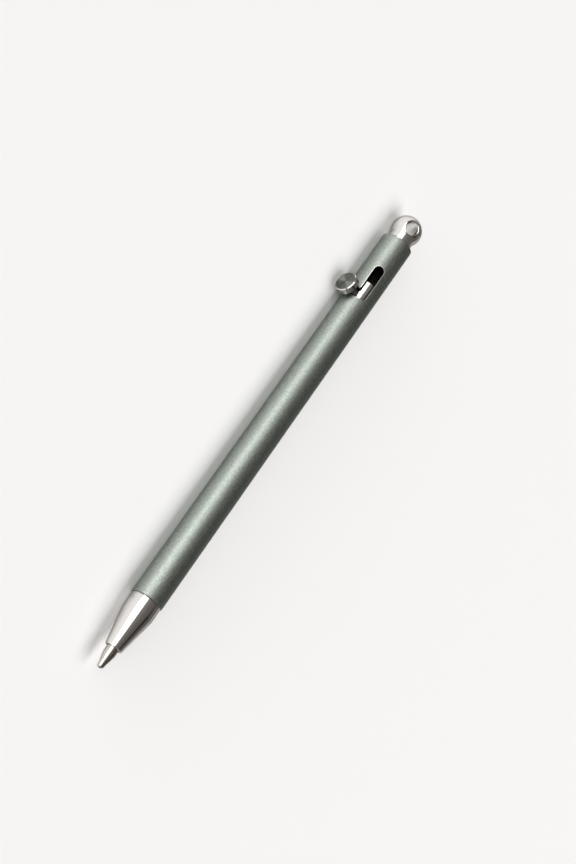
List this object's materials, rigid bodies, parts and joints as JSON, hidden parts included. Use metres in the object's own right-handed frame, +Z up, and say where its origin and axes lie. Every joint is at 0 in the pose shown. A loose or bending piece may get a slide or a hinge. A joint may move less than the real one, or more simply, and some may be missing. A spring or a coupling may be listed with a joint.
{
  "type": "bolt action pen",
  "caption": "Slim titanium bolt action ballpoint pen with a side knob in an L-shaped slot, a screw-in polished nose cone and a ball end drilled for a cord.",
  "frame": {"origin": "centre of the bottom face of the bounding box, on the table that the pen lies on", "axes": "+X along the pen towards the writing tip, +Z up from the table, the bolt's knob on the -Y side"},
  "size_m": [0.0998, 0.0084, 0.006],
  "materials": {
    "blasted_titanium": "bead-blasted titanium, satin",
    "polished_titanium": "polished titanium",
    "turned_titanium": "face-turned titanium with fine rings",
    "seal_rubber": "matte black rubber",
    "spring_steel": "drawn spring wire",
    "nickel_silver": "polished nickel silver",
    "carbide": "polished tungsten carbide",
    "ink": "blue-black ink paste"
  },
  "bodies": {
    "barrel": {"barrel": "blasted_titanium", "end_cap": "polished_titanium", "return_spring": "spring_steel"},
    "bolt": {"plunger": "polished_titanium", "bolt_handle": "turned_titanium"},
    "refill": {"refill_tube": "nickel_silver", "refill_point": "nickel_silver", "ink_column": "ink"},
    "writing_ball": {"writing_ball": "carbide"},
    "nose_seal": {"nose_o_ring": "seal_rubber"},
    "nose": {"nose_cone": "polished_titanium"}
  },
  "joints": [
    {"name": "bolt_turn", "type": "hinge", "parent": "barrel", "child": "bolt", "pos_m": [-0.03043, 0.00124, 0.003], "axis": [-1, 0, 0], "range_deg": [0, 48.5]},
    {"name": "refill_retract", "type": "slide", "parent": "bolt", "child": "refill", "axis": [-1, 0, 0], "range_m": [0, 0.0056]},
    {"name": "writing_ball_roll", "type": "hinge", "parent": "refill", "child": "writing_ball", "pos_m": [0.04952, 0.00124, 0.003], "axis": [0, 1, 0], "continuous": true},
    {"name": "nose_travel", "type": "slide", "parent": "barrel", "child": "nose_seal", "axis": [1, 0, 0], "range_m": [0, 0.001]},
    {"name": "nose_unscrew", "type": "hinge", "parent": "nose_seal", "child": "nose", "pos_m": [0.03617, 0.00124, 0.003], "axis": [1, 0, 0], "range_deg": [0, 720]}
  ],
  "couplings": [
    {"joint": "nose_unscrew", "follows": "nose_travel", "rad_per_m": 12566}
  ]
}
